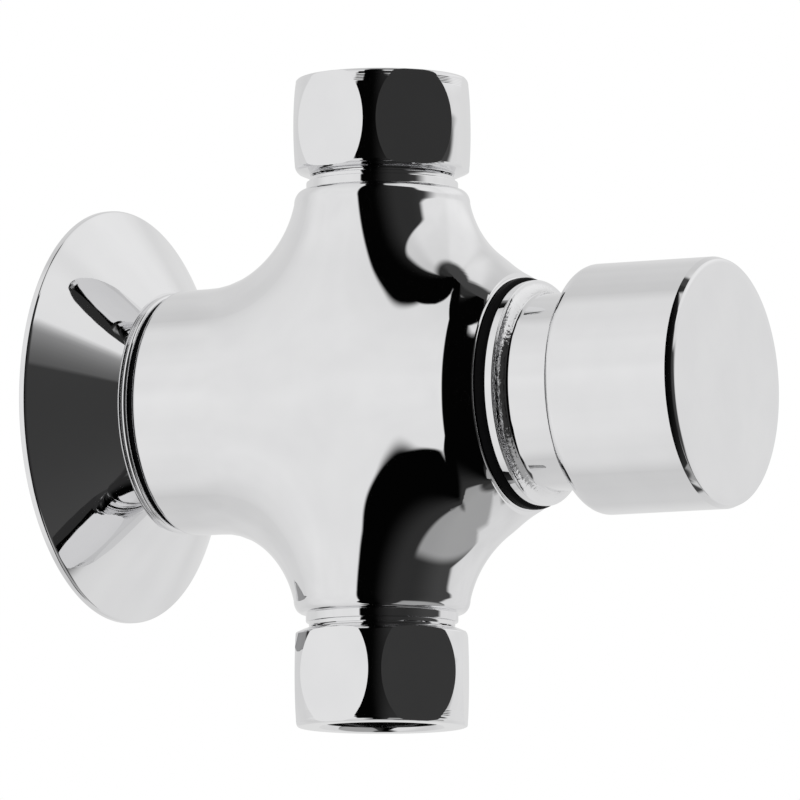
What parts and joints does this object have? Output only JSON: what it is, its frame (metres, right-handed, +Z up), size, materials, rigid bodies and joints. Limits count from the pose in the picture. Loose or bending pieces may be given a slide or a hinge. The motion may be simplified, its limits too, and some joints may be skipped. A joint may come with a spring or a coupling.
{
  "type": "push timed tap",
  "caption": "Wall-mounted chrome push timed tap: cross-shaped body, bell wall flange, union nuts above and below, and a sprung round push button that opens the valve.",
  "frame": {"origin": "centre of the mouth of the wall stud's hole, in the plane of the wall", "axes": "+Z up along the pipe axis, -Y out of the wall along the button's axis, +X to the right as seen from the front"},
  "size_m": [0.0796, 0.13, 0.1242],
  "materials": {
    "chrome": "polished",
    "brass": "turned",
    "steel": "satin",
    "rubber": "matte",
    "plastic": "matte"
  },
  "bodies": {
    "tap": {"valve_body": "chrome", "wall_flange": "chrome", "bonnet": "chrome", "flange_locknut": "brass", "valve_seat": "brass", "inlet_strainer": "steel", "timing_needle": "steel", "return_spring": "steel", "flange_gasket": "rubber", "bonnet_gasket": "rubber", "stem_seal_ring": "rubber", "seat_seal_ring": "rubber", "flow_limiter": "plastic", "stem_bush": "plastic", "cartridge_cage": "plastic"},
    "plunger": {"push_button": "chrome", "jam_nut": "steel", "stem": "steel", "piston": "plastic", "piston_seal": "rubber", "piston_clip": "steel", "valve_disc": "brass", "valve_washer": "rubber", "valve_nut": "steel"},
    "lower_gasket": {"inlet_gasket": "rubber"},
    "lower_nut": {"inlet_nut": "chrome"},
    "upper_gasket": {"outlet_gasket": "rubber"},
    "upper_nut": {"outlet_nut": "chrome"}
  },
  "joints": [
    {"name": "button_press", "type": "slide", "parent": "tap", "child": "plunger", "axis": [0, 1, 0], "range_m": [0, 0.007], "stiffness_N_per_m": 1500, "springref_m": -0.008, "deforming": ["return_spring"]},
    {"name": "lower_nut_travel", "type": "slide", "parent": "tap", "child": "lower_gasket", "axis": [0, 0, -1], "range_m": [0, 0.01088]},
    {"name": "lower_nut_turn", "type": "hinge", "parent": "lower_gasket", "child": "lower_nut", "pos_m": [0, -0.057, -0.053], "axis": [0, 0, -1], "range_deg": [0, 2160]},
    {"name": "upper_nut_travel", "type": "slide", "parent": "tap", "child": "upper_gasket", "axis": [0, 0, 1], "range_m": [0, 0.01088]},
    {"name": "upper_nut_turn", "type": "hinge", "parent": "upper_gasket", "child": "upper_nut", "pos_m": [0, -0.057, 0.053], "axis": [0, 0, 1], "range_deg": [0, 2160]}
  ],
  "couplings": [
    {"joint": "lower_nut_turn", "follows": "lower_nut_travel", "rad_per_m": 3463.7},
    {"joint": "upper_nut_turn", "follows": "upper_nut_travel", "rad_per_m": 3463.7}
  ]
}
